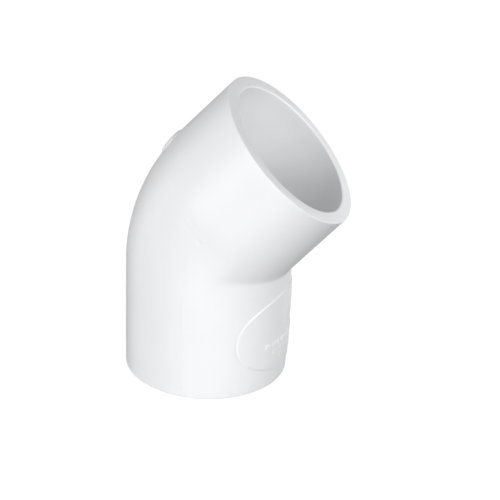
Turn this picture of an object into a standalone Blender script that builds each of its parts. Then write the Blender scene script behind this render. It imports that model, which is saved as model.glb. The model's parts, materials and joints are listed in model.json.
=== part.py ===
"""PVC conduit elbow: a 45 degree elbow with a plain solvent-weld socket at each end.

The real elbow is one injection moulding.  It is drawn here as the three regions that
its own design has: a lower socket, a bend and an upper socket, parted by a hair's
breadth at the two planes where the bend ends.

Frame: metres, +Z up.  The elbow stands on its lower mouth, bends in the XZ plane
towards +X, and is symmetric about that plane.  The origin is the middle of the
bottom of its box.
"""
from math import cos, pi, radians, sin, sqrt, tan

import bmesh
import bpy
from mathutils import Vector

MM = 0.001

# ---- driving dimensions: a 2 inch (DN 50) conduit, 60.3 mm outside ----
BEND_ANGLE = radians(45)
LOWER_LEG = 70.0 * MM       # lower mouth to the point where the two axes cross
UPPER_LEG = 47.0 * MM       # that point to the upper mouth
BODY_RADIUS = 35.5 * MM     # outside of the lower socket and the bend
MOUTH_RADIUS = 35.9 * MM    # outside of the upper socket at its mouth
ROOT_RADIUS = 36.75 * MM    # outside of the upper socket where it leaves the bend
ROOT_SHIFT = 2.4 * MM       # that root circle sits towards the inside of the bend
HEEL_DIP = 0.55 * MM        # how far the bend's heel ends below the upper socket's wall
HEEL_ARC = 49.5 * MM        # radius of the centre line that the heel follows
BORE_MOUTH_RADIUS = 30.35 * MM
BORE_STOP_RADIUS = 30.1 * MM
SOCKET_DEPTH = 32.0 * MM
PASSAGE_RADIUS = 26.5 * MM  # clear way through the bend
PASSAGE_ARC = 34.0 * MM
RIM_ROUND = 0.5 * MM        # rounded outer edge of each mouth
LEAD_IN = 0.35 * MM         # chamfer on the inner edge of each mouth
LOWER_CUT = 46.0 * MM       # height where the lower socket ends and the bend starts
UPPER_CUT = 13.2 * MM       # the same on the upper axis, from the axes' crossing
GAP = 0.3 * MM              # left between neighbouring regions

# ---- raised marking pads ----
PAD_HEIGHT = 24.0 * MM      # middle of the oval pad on the lower socket
PAD_HALF_TALL = 17.6 * MM
PAD_HALF_TURN = radians(51)
PAD_PROUD = 0.5 * MM
REAR_PAD_PLACE = radians(36.5)      # middle of the pad on the heel, by the bend's angle
REAR_PAD_HALF_LONG = radians(3.2)
REAR_PAD_HALF_TURN = radians(9)
REAR_PAD_PROUD = 0.8 * MM
PAD_ROOT = 1.0 * MM         # how far a pad's body reaches into the wall

SEGMENTS = 72
ARC_STEPS = 18
RIM_STEPS = 4               # even, so that one point lies at 45 degrees
BIG = 200 * MM              # reach of the cutting blocks

UP = Vector((0, 0, 1))
SIDE = Vector((0, 1, 0))
SPREAD = sin(BEND_ANGLE)
RISE = cos(BEND_ANGLE)
UPPER_AXIS = Vector((SPREAD, 0, RISE))
UPPER_INNER = Vector((RISE, 0, -SPREAD))    # across the upper axis, inside of the bend
FAR_X = (UPPER_LEG + MOUTH_RADIUS - 2 * RIM_ROUND) * SPREAD + RIM_ROUND
CENTRE_X = (FAR_X - BODY_RADIUS) / 2        # middle of the box, from the lower axis
FOOT = Vector((-CENTRE_X, 0, 0))            # centre of the lower mouth
CROSSING = FOOT + UP * LOWER_LEG


def clear_scene():
    for item in list(bpy.data.objects):
        bpy.data.objects.remove(item, do_unlink=True)


def white_pvc(name, shade):
    """A semi-matt white plastic of its own for each region."""
    material = bpy.data.materials.new(name)
    material.use_nodes = True
    shader = material.node_tree.nodes["Principled BSDF"]
    shader.inputs["Base Color"].default_value = (shade, shade, shade, 1)
    shader.inputs["Roughness"].default_value = 0.38
    shader.inputs["Metallic"].default_value = 0.0
    return material


def add_object(name, bm, material=None):
    bmesh.ops.recalc_face_normals(bm, faces=bm.faces)
    mesh = bpy.data.meshes.new(name)
    bm.to_mesh(mesh)
    bm.free()
    item = bpy.data.objects.new(name, mesh)
    bpy.context.collection.objects.link(item)
    if material:
        mesh.materials.append(material)
        mesh.shade_smooth()
        mesh.set_sharp_from_angle(angle=radians(32))
    return item


def ring(centre, inner, radius):
    """Points round a centre, from the inside of the bend; radius may vary with angle."""
    points = []
    for step in range(SEGMENTS):
        turn = 2 * pi * step / SEGMENTS
        reach = radius(turn) if callable(radius) else radius
        points.append(centre + inner * (reach * cos(turn)) + SIDE * (reach * sin(turn)))
    return points


def join_rings(bm, rings, closed=False):
    """Skin a stack of rings; closed joins the last to the first, else both ends are capped."""
    rows = [[bm.verts.new(point) for point in points] for points in rings]
    count = len(rows)
    for index in range(count if closed else count - 1):
        low, high = rows[index], rows[(index + 1) % count]
        for step in range(SEGMENTS):
            after = (step + 1) % SEGMENTS
            bm.faces.new((low[step], low[after], high[after], high[step]))
    if not closed:
        bm.faces.new(rows[0])
        bm.faces.new(rows[-1])


def hide_cutter(item):
    item.hide_render = True
    item.display_type = "WIRE"
    return item


def boolean(item, other, operation):
    change = item.modifiers.new(operation.lower(), "BOOLEAN")
    change.operation = operation
    change.object = hide_cutter(other)


def socket_section(length, mouth_radius, wall_at_root):
    """Half-section of a socket as (distance from its mouth, radius), mouth to root and back."""
    slope = (wall_at_root - mouth_radius) / length
    section = []
    for step in range(RIM_STEPS + 1):
        turn = pi / 2 * step / RIM_STEPS
        along = RIM_ROUND * (1 - sin(turn))
        reach = mouth_radius + slope * along - RIM_ROUND * (1 - cos(turn))
        section.insert(0, (along, reach))
    section.append((length, wall_at_root))
    section.append((length, PASSAGE_RADIUS))
    section.append((SOCKET_DEPTH, PASSAGE_RADIUS))
    section.append((SOCKET_DEPTH, BORE_STOP_RADIUS))
    section.append((LEAD_IN, BORE_MOUTH_RADIUS))
    section.append((0, BORE_MOUTH_RADIUS + LEAD_IN))
    return section


def lower_socket(material):
    section = socket_section(LOWER_CUT, BODY_RADIUS, BODY_RADIUS)
    bm = bmesh.new()
    join_rings(bm, [ring(FOOT + UP * along, Vector((1, 0, 0)), reach)
                    for along, reach in section], closed=True)
    return add_object("lower_socket", bm, material)


def upper_socket(material):
    """Like the lower one, but its outer wall leans to the inside of the bend at its root."""
    length = UPPER_LEG - UPPER_CUT - GAP / 2
    rings = []
    root = upper_wall(UPPER_CUT + GAP / 2)[1]
    for along, reach in socket_section(length, MOUTH_RADIUS, root):
        outside = reach > BORE_MOUTH_RADIUS + 2 * LEAD_IN
        shift = upper_wall(UPPER_LEG - along)[0] if outside else 0
        centre = CROSSING + UPPER_AXIS * (UPPER_LEG - along) + UPPER_INNER * shift
        rings.append(ring(centre, UPPER_INNER, reach))
    bm = bmesh.new()
    join_rings(bm, rings, closed=True)
    return add_object("upper_socket", bm, material)


def leave_cylinder(start, heading, foot, axis, radius):
    """Distance from a point inside a cylinder to its wall, along a heading."""
    across = heading - axis * heading.dot(axis)
    offset = start - foot
    offset = offset - axis * offset.dot(axis)
    half = across.dot(offset)
    square = across.length_squared
    return (-half + sqrt(half * half - square * (offset.length_squared - radius * radius))) / square


def upper_wall(place):
    """Shift and radius of the upper socket's outer wall, at a distance past the crossing."""
    back = (UPPER_LEG - place) / (UPPER_LEG - UPPER_CUT)
    return ROOT_SHIFT * back, MOUTH_RADIUS + (ROOT_RADIUS - MOUTH_RADIUS) * back


def leave_upper_wall(centre, heading):
    """Distance from a point inside the upper socket's leaning wall to that wall."""
    reach = BODY_RADIUS
    for _ in range(4):
        shift, radius = upper_wall((centre + heading * reach - CROSSING).dot(UPPER_AXIS))
        reach = leave_cylinder(centre, heading, CROSSING + UPPER_INNER * shift, UPPER_AXIS,
                               radius)
    return reach


def smooth(low, high, value):
    share = min(max((value - low) / (high - low), 0), 1)
    return share * share * (3 - 2 * share)


def bend_radius(centre, inner, share, turn):
    """Outer radius of the bend at a share of its angle, from 0 to 1.

    Its heel and sides grow evenly from the lower socket into the upper one.  On the inside
    the walls of the two sockets run on until they meet in a sharp crotch.
    """
    shift, radius = upper_wall(HEEL_ARC * tan(BEND_ANGLE / 2))
    end = shift * cos(turn) + sqrt(radius ** 2 - (shift * sin(turn)) ** 2)
    end -= HEEL_DIP * smooth(0.3, 0.95, -cos(turn))
    side = BODY_RADIUS + (end - BODY_RADIUS) * share
    heading = inner * cos(turn) + SIDE * sin(turn)
    inside = max(leave_cylinder(centre, heading, FOOT, UP, BODY_RADIUS),
                 leave_upper_wall(centre, heading))
    return side + (inside - side) * smooth(0.2, 0.5, cos(turn))


def round_the_bend(arc, turned):
    """Centre and inward direction where a centre line of a given radius has turned so far."""
    start = CROSSING - UP * (arc * tan(BEND_ANGLE / 2))
    centre = start + Vector((arc * (1 - cos(turned)), 0, arc * sin(turned)))
    return centre, Vector((cos(turned), 0, -sin(turned)))


def bend_rings():
    """Outer rings from just below the bend to just past it."""
    rings = [ring(FOOT + UP * (LOWER_CUT - 4 * MM), Vector((1, 0, 0)), BODY_RADIUS)]
    for step in range(ARC_STEPS + 1):
        share = step / ARC_STEPS
        centre, inner = round_the_bend(HEEL_ARC, BEND_ANGLE * share)
        rings.append(ring(centre, inner,
                          lambda angle: bend_radius(centre, inner, share, angle)))
    return rings


def passage_rings():
    """The clear way through the bend, run past both of its ends."""
    rings = [ring(FOOT + UP * (LOWER_CUT - 8 * MM), Vector((1, 0, 0)), PASSAGE_RADIUS)]
    for step in range(ARC_STEPS + 1):
        centre, inner = round_the_bend(PASSAGE_ARC, BEND_ANGLE * step / ARC_STEPS)
        rings.append(ring(centre, inner, PASSAGE_RADIUS))
    rings.append(ring(CROSSING + UPPER_AXIS * (UPPER_CUT + 12 * MM), UPPER_INNER,
                      PASSAGE_RADIUS))
    return rings


def block_beyond(name, point, outward):
    """A large block that fills everything past a plane."""
    bm = bmesh.new()
    bmesh.ops.create_cube(bm, size=BIG)
    item = add_object(name, bm)
    item.location = point + outward * (BIG / 2)
    item.rotation_euler = outward.to_track_quat("Z", "Y").to_euler()
    return item


def bend(material):
    outer = bmesh.new()
    join_rings(outer, bend_rings())
    item = add_object("bend", outer, material)
    boolean(item, raised_pad("rear_pad", place_rear_pad, REAR_PAD_HALF_TURN,
                             REAR_PAD_HALF_LONG, 4), "UNION")
    passage = bmesh.new()
    join_rings(passage, passage_rings())
    boolean(item, add_object("passage_cutter", passage), "DIFFERENCE")
    boolean(item, block_beyond("lower_cutter", FOOT + UP * (LOWER_CUT + GAP), -UP),
            "DIFFERENCE")
    boolean(item, block_beyond("upper_cutter",
                               CROSSING + UPPER_AXIS * (UPPER_CUT - GAP / 2), UPPER_AXIS),
            "DIFFERENCE")
    return item


def raised_pad(name, place, half_turn, half_long, power, rings=5, points=48):
    """A low plateau lying on a cylinder; place turns (turn, along, height) into a point."""
    bm = bmesh.new()
    layers = []
    for height in (-PAD_ROOT, 1):
        rows = [[bm.verts.new(place(0, 0, height))]]
        for row in range(1, rings + 1):
            share = row / rings
            around = []
            for step in range(points):
                angle = 2 * pi * step / points
                wide = abs(cos(angle)) ** (2 / power) * (1 if cos(angle) > 0 else -1)
                tall = abs(sin(angle)) ** (2 / power) * (1 if sin(angle) > 0 else -1)
                around.append(bm.verts.new(place(share * half_turn * wide,
                                                 share * half_long * tall, height)))
            rows.append(around)
        layers.append(rows)
    for rows in layers:
        for step in range(points):
            after = (step + 1) % points
            bm.faces.new((rows[0][0], rows[1][step], rows[1][after]))
            for row in range(1, rings):
                bm.faces.new((rows[row][step], rows[row + 1][step],
                              rows[row + 1][after], rows[row][after]))
    for step in range(points):
        after = (step + 1) % points
        bm.faces.new((layers[0][-1][step], layers[0][-1][after],
                      layers[1][-1][after], layers[1][-1][step]))
    return add_object(name, bm)


def place_oval_pad(turn, along, height):
    reach = BODY_RADIUS + (PAD_PROUD if height > 0 else height)
    return FOOT + Vector((reach * cos(turn), reach * sin(turn), PAD_HEIGHT + along))


def place_rear_pad(turn, along, height):
    """On the heel, so measured from the outside of the bend; along is a bend angle."""
    turned = REAR_PAD_PLACE + along
    centre, inner = round_the_bend(HEEL_ARC, turned)
    reach = bend_radius(centre, inner, turned / BEND_ANGLE, pi + turn)
    reach += REAR_PAD_PROUD if height > 0 else height
    return centre - inner * (reach * cos(turn)) - SIDE * (reach * sin(turn))


def main():
    clear_scene()
    lower = lower_socket(white_pvc("pvc_lower", 0.88))
    boolean(lower, raised_pad("oval_pad", place_oval_pad, PAD_HALF_TURN, PAD_HALF_TALL, 2.2),
            "UNION")
    bend(white_pvc("pvc_bend", 0.86))
    upper_socket(white_pvc("pvc_upper", 0.9))


main()
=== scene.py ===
"""The finished look of the PVC conduit elbow.

One seamless moulding replaces the three CAD regions.  Its skin is a grid of rings: they
run up the outside, round the upper rim, back down the bores and the passage, and round
the lower rim.  Marks, pads and mould lines are heights added to the outer rings.
"""

import json
from math import cos, pi, radians, sin, tan

import bpy
import numpy as np
from mathutils import Matrix, Vector


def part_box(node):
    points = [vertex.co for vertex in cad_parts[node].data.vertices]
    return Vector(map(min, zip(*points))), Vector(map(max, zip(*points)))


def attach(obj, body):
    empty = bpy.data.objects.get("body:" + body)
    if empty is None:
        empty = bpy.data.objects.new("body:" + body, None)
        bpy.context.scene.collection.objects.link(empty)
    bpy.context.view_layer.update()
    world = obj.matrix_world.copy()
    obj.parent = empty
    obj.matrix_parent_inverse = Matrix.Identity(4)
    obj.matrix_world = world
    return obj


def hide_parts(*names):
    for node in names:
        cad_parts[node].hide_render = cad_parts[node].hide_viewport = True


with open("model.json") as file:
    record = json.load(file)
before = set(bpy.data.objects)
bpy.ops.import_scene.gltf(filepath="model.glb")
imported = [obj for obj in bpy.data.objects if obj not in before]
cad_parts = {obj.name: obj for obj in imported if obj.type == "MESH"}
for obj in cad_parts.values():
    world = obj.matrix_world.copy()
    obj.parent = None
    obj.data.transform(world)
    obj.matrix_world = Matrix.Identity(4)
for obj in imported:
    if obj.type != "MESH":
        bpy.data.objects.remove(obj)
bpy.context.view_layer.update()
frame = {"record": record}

MM = 0.001

# ---------------------------------------------------------------- the frame's dimensions
BEND_ANGLE = radians(45)
SPREAD = sin(BEND_ANGLE)
RISE = cos(BEND_ANGLE)
mounts = {mount["name"]: mount["pos_m"] for mount in frame["record"]["mounts"]}
lower_low, lower_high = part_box("lower_socket")
AXIS_X = mounts["lower_mouth"][0]
BODY_RADIUS = lower_high[1]
MOUTH_RADIUS = 35.9 * MM         # the upper socket's wall narrows to this from its root
MOUTH_X, MOUTH_Z = mounts["upper_mouth"][0], mounts["upper_mouth"][2]
UPPER_LEG = (MOUTH_X - AXIS_X) / SPREAD
LOWER_LEG = MOUTH_Z - UPPER_LEG * RISE
SOCKET_DEPTH = mounts["lower_conduit_stop"][2]

# ---------------------------------------------------------------- the moulding
ROOT_RADIUS = 36.75 * MM
ROOT_SHIFT = 2.4 * MM
ROOT_PLACE = 13.2 * MM
HEEL_DIP = 0.55 * MM             # the bend's heel ends this far below the upper wall
HEEL_ARC = 49.5 * MM
STEP_FROM, STEP_TO = 6.0 * MM, 19.0 * MM      # along the upper axis, where that is made up
CROTCH_ROUND = 0.7 * MM
BORE_MOUTH_RADIUS = 30.35 * MM
BORE_STOP_RADIUS = 30.1 * MM
PASSAGE_RADIUS = 26.5 * MM
PASSAGE_ARC = 34.0 * MM
RIM_ROUND = 0.5 * MM
LEAD_IN = 0.6 * MM
STOP_ROUND = 0.4 * MM
# Where one wall hands over to the next: cosines round the elbow, or shares of the bend.
HEEL_BLEND = (0.3, 0.95)
CROTCH_BLEND = (0.2, 0.5)
UPPER_BLEND = (0.3, 0.7)

# ---------------------------------------------------------------- marks on the skin
PAD_HEIGHT = 24.4 * MM
PAD_HALF_TALL = 18.0 * MM
PAD_HALF_TURN = radians(52)
PAD_POWER = 2.2                  # of its outline, where 2 would be an ellipse
PAD_PROUD = 0.5 * MM
PAD_SIDE_FALL = 0.75             # share of its height that the pad loses at its two sides
PAD_EDGE_OUT = 0.1 * MM          # its edge slopes from this far outside its outline
PAD_EDGE_IN = 0.16 * MM          # to this far inside it,
PAD_EDGE_SOFTER = 0.4 * MM       # and by this much further in at its lowest point
PAD_REACH = 1.3                  # half heights above its middle up to which it is worked out
GROOVE_DEEP = 0.16 * MM          # round the lower half of the oval pad
GROOVE_OUT = 0.28 * MM
GROOVE_WIDTH = 0.3 * MM
GROOVE_FADE = (-2 * MM, 9 * MM)  # heights above the pad's middle between which it dies away

# Rows of marks on the oval pad: height, half length, number of marks, strength.
MARK_ROWS = ((20.2 * MM, 17.2 * MM, 19, 1.0),
             (16.2 * MM, 12.6 * MM, 14, 0.6),
             (12.4 * MM, 7.6 * MM, 8, 0.6))
MARK_WIDTHS = (1.15 * MM, 0.85 * MM, 0.55 * MM)      # taken in turn along a row
MARK_HEIGHTS = (2.2 * MM, 1.7 * MM)
MARK_ROUND = 0.12 * MM
MARK_PROUD = 0.4 * MM
TALL_MARK_PLACES = (-5.3 * MM, 2.4 * MM, 10.1 * MM)
TALL_MARK_HEIGHT = 31.7 * MM
TALL_MARK_WIDE = 1.8 * MM
TALL_MARK_TALL = 12.6 * MM
TALL_MARK_ROUND = 0.2 * MM
TALL_MARK_STRENGTH = 0.5

REAR_PAD_PLACE = radians(36.5)   # on the heel, by the bend's angle
REAR_PAD_HALF_LONG = radians(3.2)
REAR_PAD_HALF_TURN = radians(9)
REAR_PAD_POWER = 4
REAR_PAD_PROUD = 0.8 * MM
REAR_PAD_EDGE = (-0.2 * MM, 0.25 * MM)
REAR_MARK_APART = 2.6 * MM
REAR_MARK_WIDE = 1.2 * MM
REAR_MARK_TALL = 5.0 * MM
REAR_MARK_PROUD = 0.25 * MM

SEAM_PROUD = 0.06 * MM
SEAM_WIDTH = 0.16 * MM
SEAM_REACH = 2.4 * MM
SEAM_FADE = 0.65                 # share of its height that the seam loses at the bend
SEAM_FADE_FROM = LOWER_LEG - 12 * MM
SEAM_FADE_TO = LOWER_LEG + 4 * MM
NICK_HEIGHT = 3.4 * MM
NICK_WIDE = 0.9 * MM
NICK_TALL = 1.5 * MM
NICK_ROUND = 0.3 * MM
NICK_DEEP = 2 * SEAM_PROUD

RIDGE_PROUD = 0.1 * MM
RIDGE_PLACE = 8.1 * MM           # past the crossing of the two axes
RIDGE_MIDDLE = 6.0 * MM          # from the seam, towards the heel
RIDGE_HALF_LONG = 8.5 * MM
RIDGE_WIDTH = 0.3 * MM
DIMPLE_DEEP = 0.22 * MM
DIMPLE_PLACE = 5.8 * MM          # past the crossing
DIMPLE_MIDDLE = -1.0 * MM        # from the seam, the other way
DIMPLE_WIDE = 1.3 * MM
DIMPLE_TALL = 2.4 * MM
DIMPLE_ROUND = 0.5 * MM
DIMPLE_SLOPE = (-1.8 * MM, 1.0 * MM)
ROUGH_SHARE = 0.35               # how much the dimple's depth varies
ROUGH_ACROSS, ROUGH_ALONG, ROUGH_SLANT = 0.5 * MM, 0.4 * MM, 1 * MM

# ---------------------------------------------------------------- the grid of the skin
ALONG_STEP = 0.9 * MM
PAD_STEP = 0.26 * MM
ROOT_STEP = 0.22 * MM
REAR_PAD_STEP = 0.14 * MM
TURN_STEP = radians(1.1)
PAD_TURN_STEP = radians(0.4)
SEAM_TURN_STEP = radians(0.14)
REAR_PAD_TURN_STEP = radians(0.36)
RIM_STEPS = 6
BORE_STEPS = 16
STOP_STEPS = 4
PASSAGE_ROWS = 46


# ---------------------------------------------------------------- small maths
def smooth(low, high, value):
    share = np.clip((value - low) / (high - low), 0, 1)
    return share * share * (3 - 2 * share)


def soft_max(one, other, width):
    """The larger of two values, with the corner where they meet rounded."""
    near = np.maximum(width - np.abs(one - other), 0) / width
    return np.maximum(one, other) + near * near * width / 4


def graded(start, end, coarse, zones):
    """Values from start to end, coarse apart, finer in each zone of (centre, half width, step)."""
    samples = 6000
    zone_edge = 1.25
    fine = np.linspace(start, end, samples)
    density = np.full_like(fine, 1 / coarse)
    for centre, half, step in zones:
        inside = 1 - smooth(half, half * zone_edge, np.abs(fine - centre))
        density = np.maximum(density, inside / step)
    total = np.concatenate([[0], np.cumsum((density[1:] + density[:-1]) / 2 * np.diff(fine))])
    count = int(np.ceil(total[-1]))
    return np.interp(np.linspace(0, total[-1], count + 1), total, fine)


# ---------------------------------------------------------------- the way along the elbow
FOOT = np.array([AXIS_X, 0, 0])
CROSSING = np.array([AXIS_X, 0, LOWER_LEG])
UP = np.array([0, 0, 1.0])
SIDE = np.array([0, 1.0, 0])
UPPER_AXIS = np.array([SPREAD, 0, RISE])
UPPER_INNER = np.array([RISE, 0, -SPREAD])


def centre_line(along, arc):
    """Centre and inward direction at distances along a line that rounds the bend."""
    tangent = arc * tan(BEND_ANGLE / 2)
    turn = np.clip((along - (LOWER_LEG - tangent)) / arc, 0, BEND_ANGLE)
    past = along - (LOWER_LEG - tangent) - arc * turn
    x = AXIS_X + arc * (1 - np.cos(turn)) + past * np.sin(turn)
    z = LOWER_LEG - tangent + arc * np.sin(turn) + past * np.cos(turn)
    centre = np.stack([x, 0 * x, z], -1)
    inner = np.stack([np.cos(turn), 0 * x, -np.sin(turn)], -1)
    return centre, inner, turn


def line_length(arc):
    return LOWER_LEG + UPPER_LEG + arc * (BEND_ANGLE - 2 * tan(BEND_ANGLE / 2))


def leave_cylinder(start, heading, foot, axis, radius):
    """Distance from points inside a cylinder to its wall, along headings."""
    across = heading - (heading @ axis)[..., None] * axis
    offset = start - foot
    offset = offset - (offset @ axis)[..., None] * axis
    half = (across * offset).sum(-1)
    square = (across * across).sum(-1)
    rest = (offset * offset).sum(-1) - radius * radius
    return (-half + np.sqrt(np.maximum(half * half - square * rest, 0))) / square


def upper_wall(place):
    """Shift and radius of the upper socket's leaning outer wall, at distances past the crossing."""
    back = (UPPER_LEG - place) / (UPPER_LEG - ROOT_PLACE)
    return ROOT_SHIFT * back, MOUTH_RADIUS + (ROOT_RADIUS - MOUTH_RADIUS) * back


def leave_upper_wall(start, heading):
    """Distance to the upper socket's wall, and how far up its axis that is."""
    rounds = 5
    reach = np.full(start.shape[:-1], BODY_RADIUS)
    for _ in range(rounds):
        shift, radius = upper_wall((start + heading * reach[..., None] - CROSSING) @ UPPER_AXIS)
        foot = CROSSING + UPPER_INNER * shift[..., None]
        reach = leave_cylinder(start, heading, foot, UPPER_AXIS, radius)
    place = (start + heading * reach[..., None] - CROSSING) @ UPPER_AXIS
    return reach, place


# ---------------------------------------------------------------- heights of the marks
def bar(across, along, x, y, wide, tall, round_by=MARK_ROUND):
    """1 on a small raised bar with soft edges, 0 off it."""
    edge_x = 1 - smooth(wide / 2 - round_by, wide / 2 + round_by, np.abs(across - x))
    edge_y = 1 - smooth(tall / 2 - round_by, tall / 2 + round_by, np.abs(along - y))
    return edge_x * edge_y


def oval_pad(turn, height):
    """Height of the oval pad and its generic raised marks on the lower socket."""
    side = np.abs(turn / PAD_HALF_TURN) ** PAD_POWER
    rise = np.abs((height - PAD_HEIGHT) / PAD_HALF_TALL) ** PAD_POWER
    inside = (1 - (side + rise) ** (1 / PAD_POWER)) * PAD_HALF_TALL
    plateau = PAD_PROUD * (1 - PAD_SIDE_FALL * np.minimum(side, 1))
    low_side = smooth(0, 1, (PAD_HEIGHT - height) / PAD_HALF_TALL)
    total = plateau * smooth(-PAD_EDGE_OUT, PAD_EDGE_IN + PAD_EDGE_SOFTER * low_side, inside)
    below = 1 - smooth(*GROOVE_FADE, height - PAD_HEIGHT)
    total = total - GROOVE_DEEP * below * np.exp(-((inside + GROOVE_OUT) / GROOVE_WIDTH) ** 2)
    across = turn * BODY_RADIUS
    marks = 0 * total
    for row_height, half, count, strength in MARK_ROWS:
        for index in range(count):
            x = -half + 2 * half * index / (count - 1)
            wide = MARK_WIDTHS[index % len(MARK_WIDTHS)]
            tall = MARK_HEIGHTS[index % len(MARK_HEIGHTS)]
            mark = bar(across, height, x, row_height, wide, tall)
            marks = np.maximum(marks, strength * mark)
    for x in TALL_MARK_PLACES:
        mark = bar(across, height, x, TALL_MARK_HEIGHT,
                   TALL_MARK_WIDE, TALL_MARK_TALL, TALL_MARK_ROUND)
        marks = np.maximum(marks, TALL_MARK_STRENGTH * mark)
    return total + MARK_PROUD * marks


def rear_pad(turn, bend):
    """Height of the small pad on the bend's heel, with its generic raised marks."""
    away = np.mod(turn, 2 * pi) - pi
    past = bend - REAR_PAD_PLACE
    level = (np.abs(away / REAR_PAD_HALF_TURN) ** REAR_PAD_POWER
             + np.abs(past / REAR_PAD_HALF_LONG) ** REAR_PAD_POWER) ** (1 / REAR_PAD_POWER)
    heel_radius = HEEL_ARC + BODY_RADIUS
    inside = (1 - level) * REAR_PAD_HALF_LONG * heel_radius
    total = REAR_PAD_PROUD * smooth(*REAR_PAD_EDGE, inside)
    marks = 0 * total
    for x in (-REAR_MARK_APART, 0, REAR_MARK_APART):
        marks = np.maximum(marks, bar(away * BODY_RADIUS, past * heel_radius,
                                      x, 0, REAR_MARK_WIDE, REAR_MARK_TALL))
    return total + REAR_MARK_PROUD * marks


def mould_seam(turn, along):
    """A fine step where the halves of the mould met, on both sides, dying away to the inside."""
    away = (pi / 2 - np.abs(np.mod(turn + pi, 2 * pi) - pi)) * BODY_RADIUS
    sharp = smooth(-SEAM_WIDTH, SEAM_WIDTH, away)
    fade = 1 - SEAM_FADE * smooth(SEAM_FADE_FROM, SEAM_FADE_TO, along)
    step = SEAM_PROUD * fade * sharp * np.exp(-np.maximum(away, 0) / SEAM_REACH)
    nick = bar(away, along, 0, NICK_HEIGHT, NICK_WIDE, NICK_TALL, NICK_ROUND)
    return step - NICK_DEEP * nick


def gate_marks(turn, place):
    """A short ridge across each side seam at the root, and the dimple left by the gate."""
    away = np.abs(np.mod(turn + pi, 2 * pi) - pi) - pi / 2
    across = away * ROOT_RADIUS
    along_ridge = 1 - smooth(0.1, 1, np.abs(across - RIDGE_MIDDLE) / RIDGE_HALF_LONG)
    ridge = along_ridge * np.exp(-((place - RIDGE_PLACE) / RIDGE_WIDTH) ** 2)
    rough = 1 + ROUGH_SHARE * (np.sin(across / ROUGH_ACROSS)
                               * np.sin(place / ROUGH_ALONG + across / ROUGH_SLANT))
    dimple = bar(across, place, DIMPLE_MIDDLE, DIMPLE_PLACE,
                 DIMPLE_WIDE, DIMPLE_TALL, DIMPLE_ROUND)
    dimple = dimple * smooth(*DIMPLE_SLOPE, place - DIMPLE_PLACE)
    return RIDGE_PROUD * ridge - DIMPLE_DEEP * dimple * rough


# ---------------------------------------------------------------- the skin
def outer_rows(turns):
    """Points of the outside wall, from just above the lower rim to just below the upper one."""
    length = line_length(HEEL_ARC)
    root_along = length - UPPER_LEG + (STEP_FROM + STEP_TO) / 2
    rear_pad_along = LOWER_LEG - HEEL_ARC * (tan(BEND_ANGLE / 2) - REAR_PAD_PLACE)
    along = graded(RIM_ROUND, length - RIM_ROUND, ALONG_STEP, [
        (PAD_HEIGHT, PAD_HALF_TALL + 1 * MM, PAD_STEP),
        (root_along - 5 * MM, 8 * MM, ROOT_STEP),
        (rear_pad_along, 3.4 * MM, REAR_PAD_STEP)])
    centre, inner, bend = centre_line(along, HEEL_ARC)
    centre, inner = centre[:, None], inner[:, None]
    share = (bend / BEND_ANGLE)[:, None]
    turn = turns[None, :]
    heading = inner * np.cos(turn)[..., None] + SIDE * np.sin(turn)[..., None]
    start = np.broadcast_to(centre, heading.shape)
    wall, place = leave_upper_wall(start, heading)
    heelward = smooth(*HEEL_BLEND, -np.cos(turn))

    # The heel and the sides grow evenly from the lower socket into the upper one.
    shift, radius = upper_wall(np.array(HEEL_ARC * tan(BEND_ANGLE / 2)))
    end = shift * np.cos(turn) + np.sqrt(radius ** 2 - (shift * np.sin(turn)) ** 2)
    side = BODY_RADIUS + (end - HEEL_DIP * heelward - BODY_RADIUS) * share
    made_up = smooth(STEP_FROM, STEP_TO, place) * smooth(*UPPER_BLEND, share)
    side = side + (wall - side) * made_up

    # On the inside, the walls of the two sockets run on until they meet.
    lower = leave_cylinder(start, heading, FOOT, UP, BODY_RADIUS)
    inside = np.where(share > 0, soft_max(lower, wall, CROTCH_ROUND), lower)
    reach = side + (inside - side) * smooth(*CROTCH_BLEND, np.cos(turn))
    reach = np.where((place > STEP_TO) & (share >= 1), wall, reach)

    reach = reach + np.where(along[:, None] < PAD_HEIGHT + PAD_REACH * PAD_HALF_TALL,
                             oval_pad(np.mod(turn + pi, 2 * pi) - pi, along[:, None]), 0)
    reach = reach + rear_pad(turn, bend[:, None])
    reach = reach + mould_seam(turn, along[:, None])
    reach = reach + gate_marks(turn, place)
    return start + heading * reach[..., None]


def flat_ring(centre, inner, radius, turns):
    return (centre + inner * (radius * np.cos(turns))[:, None]
            + SIDE * (radius * np.sin(turns))[:, None])


def rim_rows(centre_of, inner, wall_of, turns):
    """Rounded outer edge of a mouth, from its side to its face."""
    rows = []
    for step in range(1, RIM_STEPS + 1):
        angle = pi / 2 * step / RIM_STEPS
        back = RIM_ROUND * (1 - sin(angle))
        shift, radius = wall_of(back)
        rows.append(flat_ring(centre_of(back) + inner * shift, inner,
                              radius - RIM_ROUND * (1 - cos(angle)), turns))
    return rows


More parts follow.
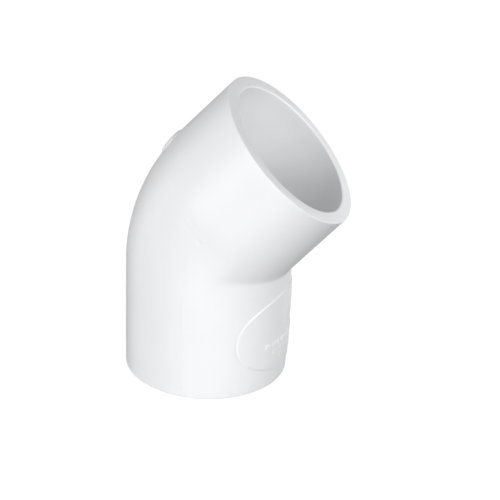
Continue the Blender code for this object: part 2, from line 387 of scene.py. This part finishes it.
def bore_section():
    """(depth, radius) from the face of a mouth to its stop and over the stop's inner edge."""
    section = []
    for step in range(RIM_STEPS + 1):
        angle = pi / 2 * step / RIM_STEPS
        section.append((LEAD_IN * (1 - cos(angle)),
                        BORE_MOUTH_RADIUS + LEAD_IN * (1 - sin(angle))))
    for step in range(1, BORE_STEPS + 1):
        share = step / BORE_STEPS
        section.append((LEAD_IN + (SOCKET_DEPTH - STOP_ROUND - LEAD_IN) * share,
                        BORE_MOUTH_RADIUS + (BORE_STOP_RADIUS - BORE_MOUTH_RADIUS) * share))
    for step in range(1, STOP_STEPS + 1):
        angle = pi / 2 * step / STOP_STEPS
        section.append((SOCKET_DEPTH - STOP_ROUND * (1 - sin(angle)),
                        BORE_STOP_RADIUS - STOP_ROUND * (1 - cos(angle))))
    for step in range(STOP_STEPS + 1):
        angle = pi / 2 * step / STOP_STEPS
        section.append((SOCKET_DEPTH + STOP_ROUND * (1 - cos(angle)),
                        PASSAGE_RADIUS + STOP_ROUND * (1 - sin(angle))))
    return section


def lower_wall(depth):
    """Shift and radius of the lower socket's outer wall, which are the same at every depth."""
    return 0, BODY_RADIUS


def upper_wall_at(depth):
    """Shift and radius of the upper socket's outer wall, at a depth from its mouth."""
    return upper_wall(UPPER_LEG - depth)


def lower_centre(depth):
    return FOOT + UP * depth


def upper_centre(depth):
    return CROSSING + UPPER_AXIS * (UPPER_LEG - depth)


def passage_rows(turns):
    """The clear way from the upper stop down to the lower one."""
    length = line_length(PASSAGE_ARC)
    margin = SOCKET_DEPTH + 1.2 * MM
    rows = []
    for along in np.linspace(length - margin, margin, PASSAGE_ROWS):
        centre, inner, _ = centre_line(np.array([along]), PASSAGE_ARC)
        rows.append(flat_ring(centre[0], inner[0], PASSAGE_RADIUS, turns))
    return rows


def skin_turns():
    """Angles round the elbow from the inside of the bend, finer at the marks."""
    seam_half = radians(1.6)
    zones = [(0, PAD_HALF_TURN + radians(2), PAD_TURN_STEP)]
    for side in (-1, 1):
        zones.append((side * pi / 2, seam_half, SEAM_TURN_STEP))
        zones.append((side * pi, REAR_PAD_HALF_TURN + radians(2), REAR_PAD_TURN_STEP))
    turns = graded(-pi, pi, TURN_STEP, zones)
    return turns[:-1]


def make_skin():
    turns = skin_turns()
    lower_inner = np.array([1.0, 0, 0])
    rows = list(outer_rows(turns))
    rows += rim_rows(upper_centre, UPPER_INNER, upper_wall_at, turns)
    section = bore_section()
    rows += [flat_ring(upper_centre(depth), UPPER_INNER, radius, turns)
             for depth, radius in section]
    rows += passage_rows(turns)
    rows += [flat_ring(lower_centre(depth), lower_inner, radius, turns)
             for depth, radius in reversed(section)]
    rows += reversed(rim_rows(lower_centre, lower_inner, lower_wall, turns))
    points = np.array(rows)
    count, around = points.shape[:2]
    first = np.arange(count * around).reshape(count, around)
    after = np.roll(first, -1, 1)
    above = np.roll(first, -1, 0)
    above_after = np.roll(after, -1, 0)
    faces = np.stack([first, after, above_after, above], -1).reshape(-1, 4)
    mesh = bpy.data.meshes.new("elbow_moulding")
    mesh.from_pydata(points.reshape(-1, 3).tolist(), [], faces.tolist())
    mesh.validate()
    mesh.shade_smooth()
    sharp_from = radians(50)
    mesh.set_sharp_from_angle(angle=sharp_from)
    moulding = bpy.data.objects.new("elbow_moulding", mesh)
    bpy.context.collection.objects.link(moulding)
    return moulding


# ---------------------------------------------------------------- material
def add_node(tree, kind, **settings):
    node = tree.nodes.new(kind)
    for name, value in settings.items():
        node.inputs[name].default_value = value
    return node


def white_pvc():
    """Injection-moulded white PVC: even, semi-matt, with a faint flow and grain."""
    material = bpy.data.materials.new("white_pvc_look")
    material.use_nodes = True
    tree = material.node_tree
    shader = tree.nodes["Principled BSDF"]
    shader.inputs["Metallic"].default_value = 0.0
    shader.inputs["IOR"].default_value = 1.53
    shader.inputs["Specular IOR Level"].default_value = 0.42
    place = add_node(tree, "ShaderNodeTexCoord")

    def noise(scale, detail, rough):
        node = add_node(tree, "ShaderNodeTexNoise", Scale=scale, Detail=detail, Roughness=rough)
        tree.links.new(place.outputs["Object"], node.inputs["Vector"])
        return node

    cloud = noise(38.0, 4.0, 0.55)
    tint = add_node(tree, "ShaderNodeValToRGB")
    tint.color_ramp.elements[0].position = 0.3
    tint.color_ramp.elements[0].color = (0.842, 0.846, 0.857, 1)
    tint.color_ramp.elements[1].position = 0.7
    tint.color_ramp.elements[1].color = (0.872, 0.874, 0.884, 1)
    tree.links.new(cloud.outputs["Fac"], tint.inputs["Fac"])
    tree.links.new(tint.outputs["Color"], shader.inputs["Base Color"])

    sheen = noise(90.0, 5.0, 0.6)
    rough = add_node(tree, "ShaderNodeMapRange")
    rough.inputs["From Min"].default_value = 0.3
    rough.inputs["From Max"].default_value = 0.7
    rough.inputs["To Min"].default_value = 0.36
    rough.inputs["To Max"].default_value = 0.46
    tree.links.new(sheen.outputs["Fac"], rough.inputs["Value"])
    tree.links.new(rough.outputs["Result"], shader.inputs["Roughness"])

    grain = noise(900.0, 4.0, 0.6)
    ripple = noise(70.0, 2.0, 0.5)
    fine = add_node(tree, "ShaderNodeBump", Strength=0.22, Distance=0.00006)
    broad = add_node(tree, "ShaderNodeBump", Strength=0.25, Distance=0.0004)
    tree.links.new(ripple.outputs["Fac"], broad.inputs["Height"])
    tree.links.new(grain.outputs["Fac"], fine.inputs["Height"])
    tree.links.new(broad.outputs["Normal"], fine.inputs["Normal"])
    tree.links.new(fine.outputs["Normal"], shader.inputs["Normal"])
    return material


# ---------------------------------------------------------------- stage, light, camera
FLOOR_SIZE = 3.0
FLOOR_DROP = 0.05 * MM           # keeps the floor clear of the lower mouth's face
# Soft suns: name, azimuth from the near side towards +X, elevation, brightness of a white
# wall that faces it.  The low ones stand for the light that comes back up from the floor.
SOFT_SUNS = (("front_left", 330, 10, 0.45),
             ("front_right", 30, 10, 0.3),
             ("right", 60, 10, 0.4),
             ("high_right", 45, 60, 0.2),
             ("left", 270, 10, 0.2),
             ("back_left", 210, 35, 0.25),
             ("front_low", 0, -45, 0.2),
             ("left_low", 270, -15, 0.15),
             ("behind_low", 180, -15, 0.15),
             ("back_low", 150, -15, 0.1))
SUN_WIDTH = radians(40)
NEAR_LAMP_PLACE = Vector((90, 30, 30)) * MM     # from the middle of the upper mouth
NEAR_LAMP_RADIUS = 30 * MM
NEAR_LAMP_BRIGHTNESS = 0.3


def add_floor():
    """A pale floor that glows a little, so that the object's shadow on it stays faint."""
    mesh = bpy.data.meshes.new("floor")
    corners = ((-1, -1), (1, -1), (1, 1), (-1, 1))
    mesh.from_pydata([(FLOOR_SIZE * x, FLOOR_SIZE * y, 0) for x, y in corners],
                     [], [(0, 1, 2, 3)])
    floor = bpy.data.objects.new("floor", mesh)
    bpy.context.collection.objects.link(floor)
    material = bpy.data.materials.new("pale_floor")
    material.use_nodes = True
    shader = material.node_tree.nodes["Principled BSDF"]
    shader.inputs["Base Color"].default_value = (0.35, 0.35, 0.35, 1)
    shader.inputs["Roughness"].default_value = 0.9
    shader.inputs["Specular IOR Level"].default_value = 0.0
    shader.inputs["Emission Color"].default_value = (1, 1, 1, 1)
    shader.inputs["Emission Strength"].default_value = 0.85
    mesh.materials.append(material)
    floor.location.z = -FLOOR_DROP
    floor.visible_diffuse = False
    floor.visible_glossy = False
    floor.visible_shadow = False


def add_soft_suns():
    """Wide, faint suns that light the elbow from all round."""
    for name, azimuth, elevation, brightness in SOFT_SUNS:
        lamp = bpy.data.lights.new(name, "SUN")
        lamp.angle = SUN_WIDTH
        lamp.energy = pi * brightness
        item = bpy.data.objects.new(name, lamp)
        bpy.context.collection.objects.link(item)
        turn, rise = radians(azimuth), radians(elevation)
        towards = Vector((sin(turn) * cos(rise), -cos(turn) * cos(rise), sin(rise)))
        item.rotation_euler = towards.to_track_quat("Z", "Y").to_euler()


def add_near_lamp():
    """A small lamp beside the upper mouth, so that its rim pales towards the right."""
    lamp = bpy.data.lights.new("near_lamp", "POINT")
    lamp.shadow_soft_size = NEAR_LAMP_RADIUS
    lamp.energy = 4 * pi * pi * NEAR_LAMP_PLACE.length_squared * NEAR_LAMP_BRIGHTNESS
    item = bpy.data.objects.new("near_lamp", lamp)
    bpy.context.collection.objects.link(item)
    item.location = Vector((MOUTH_X, 0, MOUTH_Z)) + NEAR_LAMP_PLACE
    item.visible_camera = False


def add_world():
    """White behind everything.  Only the camera sees it: the lamps give all the light."""
    world = bpy.data.worlds.new("studio")
    bpy.context.scene.world = world
    world.use_nodes = True
    background = world.node_tree.nodes["Background"]
    background.inputs["Color"].default_value = (1, 1, 1, 1)
    background.inputs["Strength"].default_value = 1.0
    world.cycles_visibility.diffuse = False
    world.cycles_visibility.glossy = False
    world.cycles_visibility.transmission = False
    world.cycles_visibility.scatter = False


def add_camera():
    """A long lens a little above the elbow, turned towards the side it bends to."""
    azimuth, elevation, roll = radians(14.89), radians(24.76), radians(2.85)
    distance = 14.712 * BODY_RADIUS
    slide_x, slide_y = -0.5526 * BODY_RADIUS, -1.3424 * BODY_RADIUS
    back = Vector((sin(azimuth) * cos(elevation), -cos(azimuth) * cos(elevation),
                   sin(elevation)))
    level = Vector((cos(azimuth), sin(azimuth), 0))
    over = back.cross(level)
    right = level * cos(roll) + over * sin(roll)
    up = over * cos(roll) - level * sin(roll)
    place = Vector(FOOT) + back * distance - right * slide_x - up * slide_y
    camera = bpy.data.cameras.new("camera")
    camera.sensor_width = 36
    camera.lens = 84.36
    item = bpy.data.objects.new("camera", camera)
    bpy.context.collection.objects.link(item)
    turn = Matrix((right, up, back)).transposed()
    item.matrix_world = Matrix.Translation(place) @ turn.to_4x4()
    bpy.context.scene.camera = item


def main():
    moulding = make_skin()
    moulding.data.materials.append(white_pvc())
    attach(moulding, "root")
    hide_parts("lower_socket", "bend", "upper_socket")
    add_floor()
    add_soft_suns()
    add_near_lamp()
    add_world()
    bpy.context.scene.view_settings.view_transform = "Standard"
    add_camera()


main()
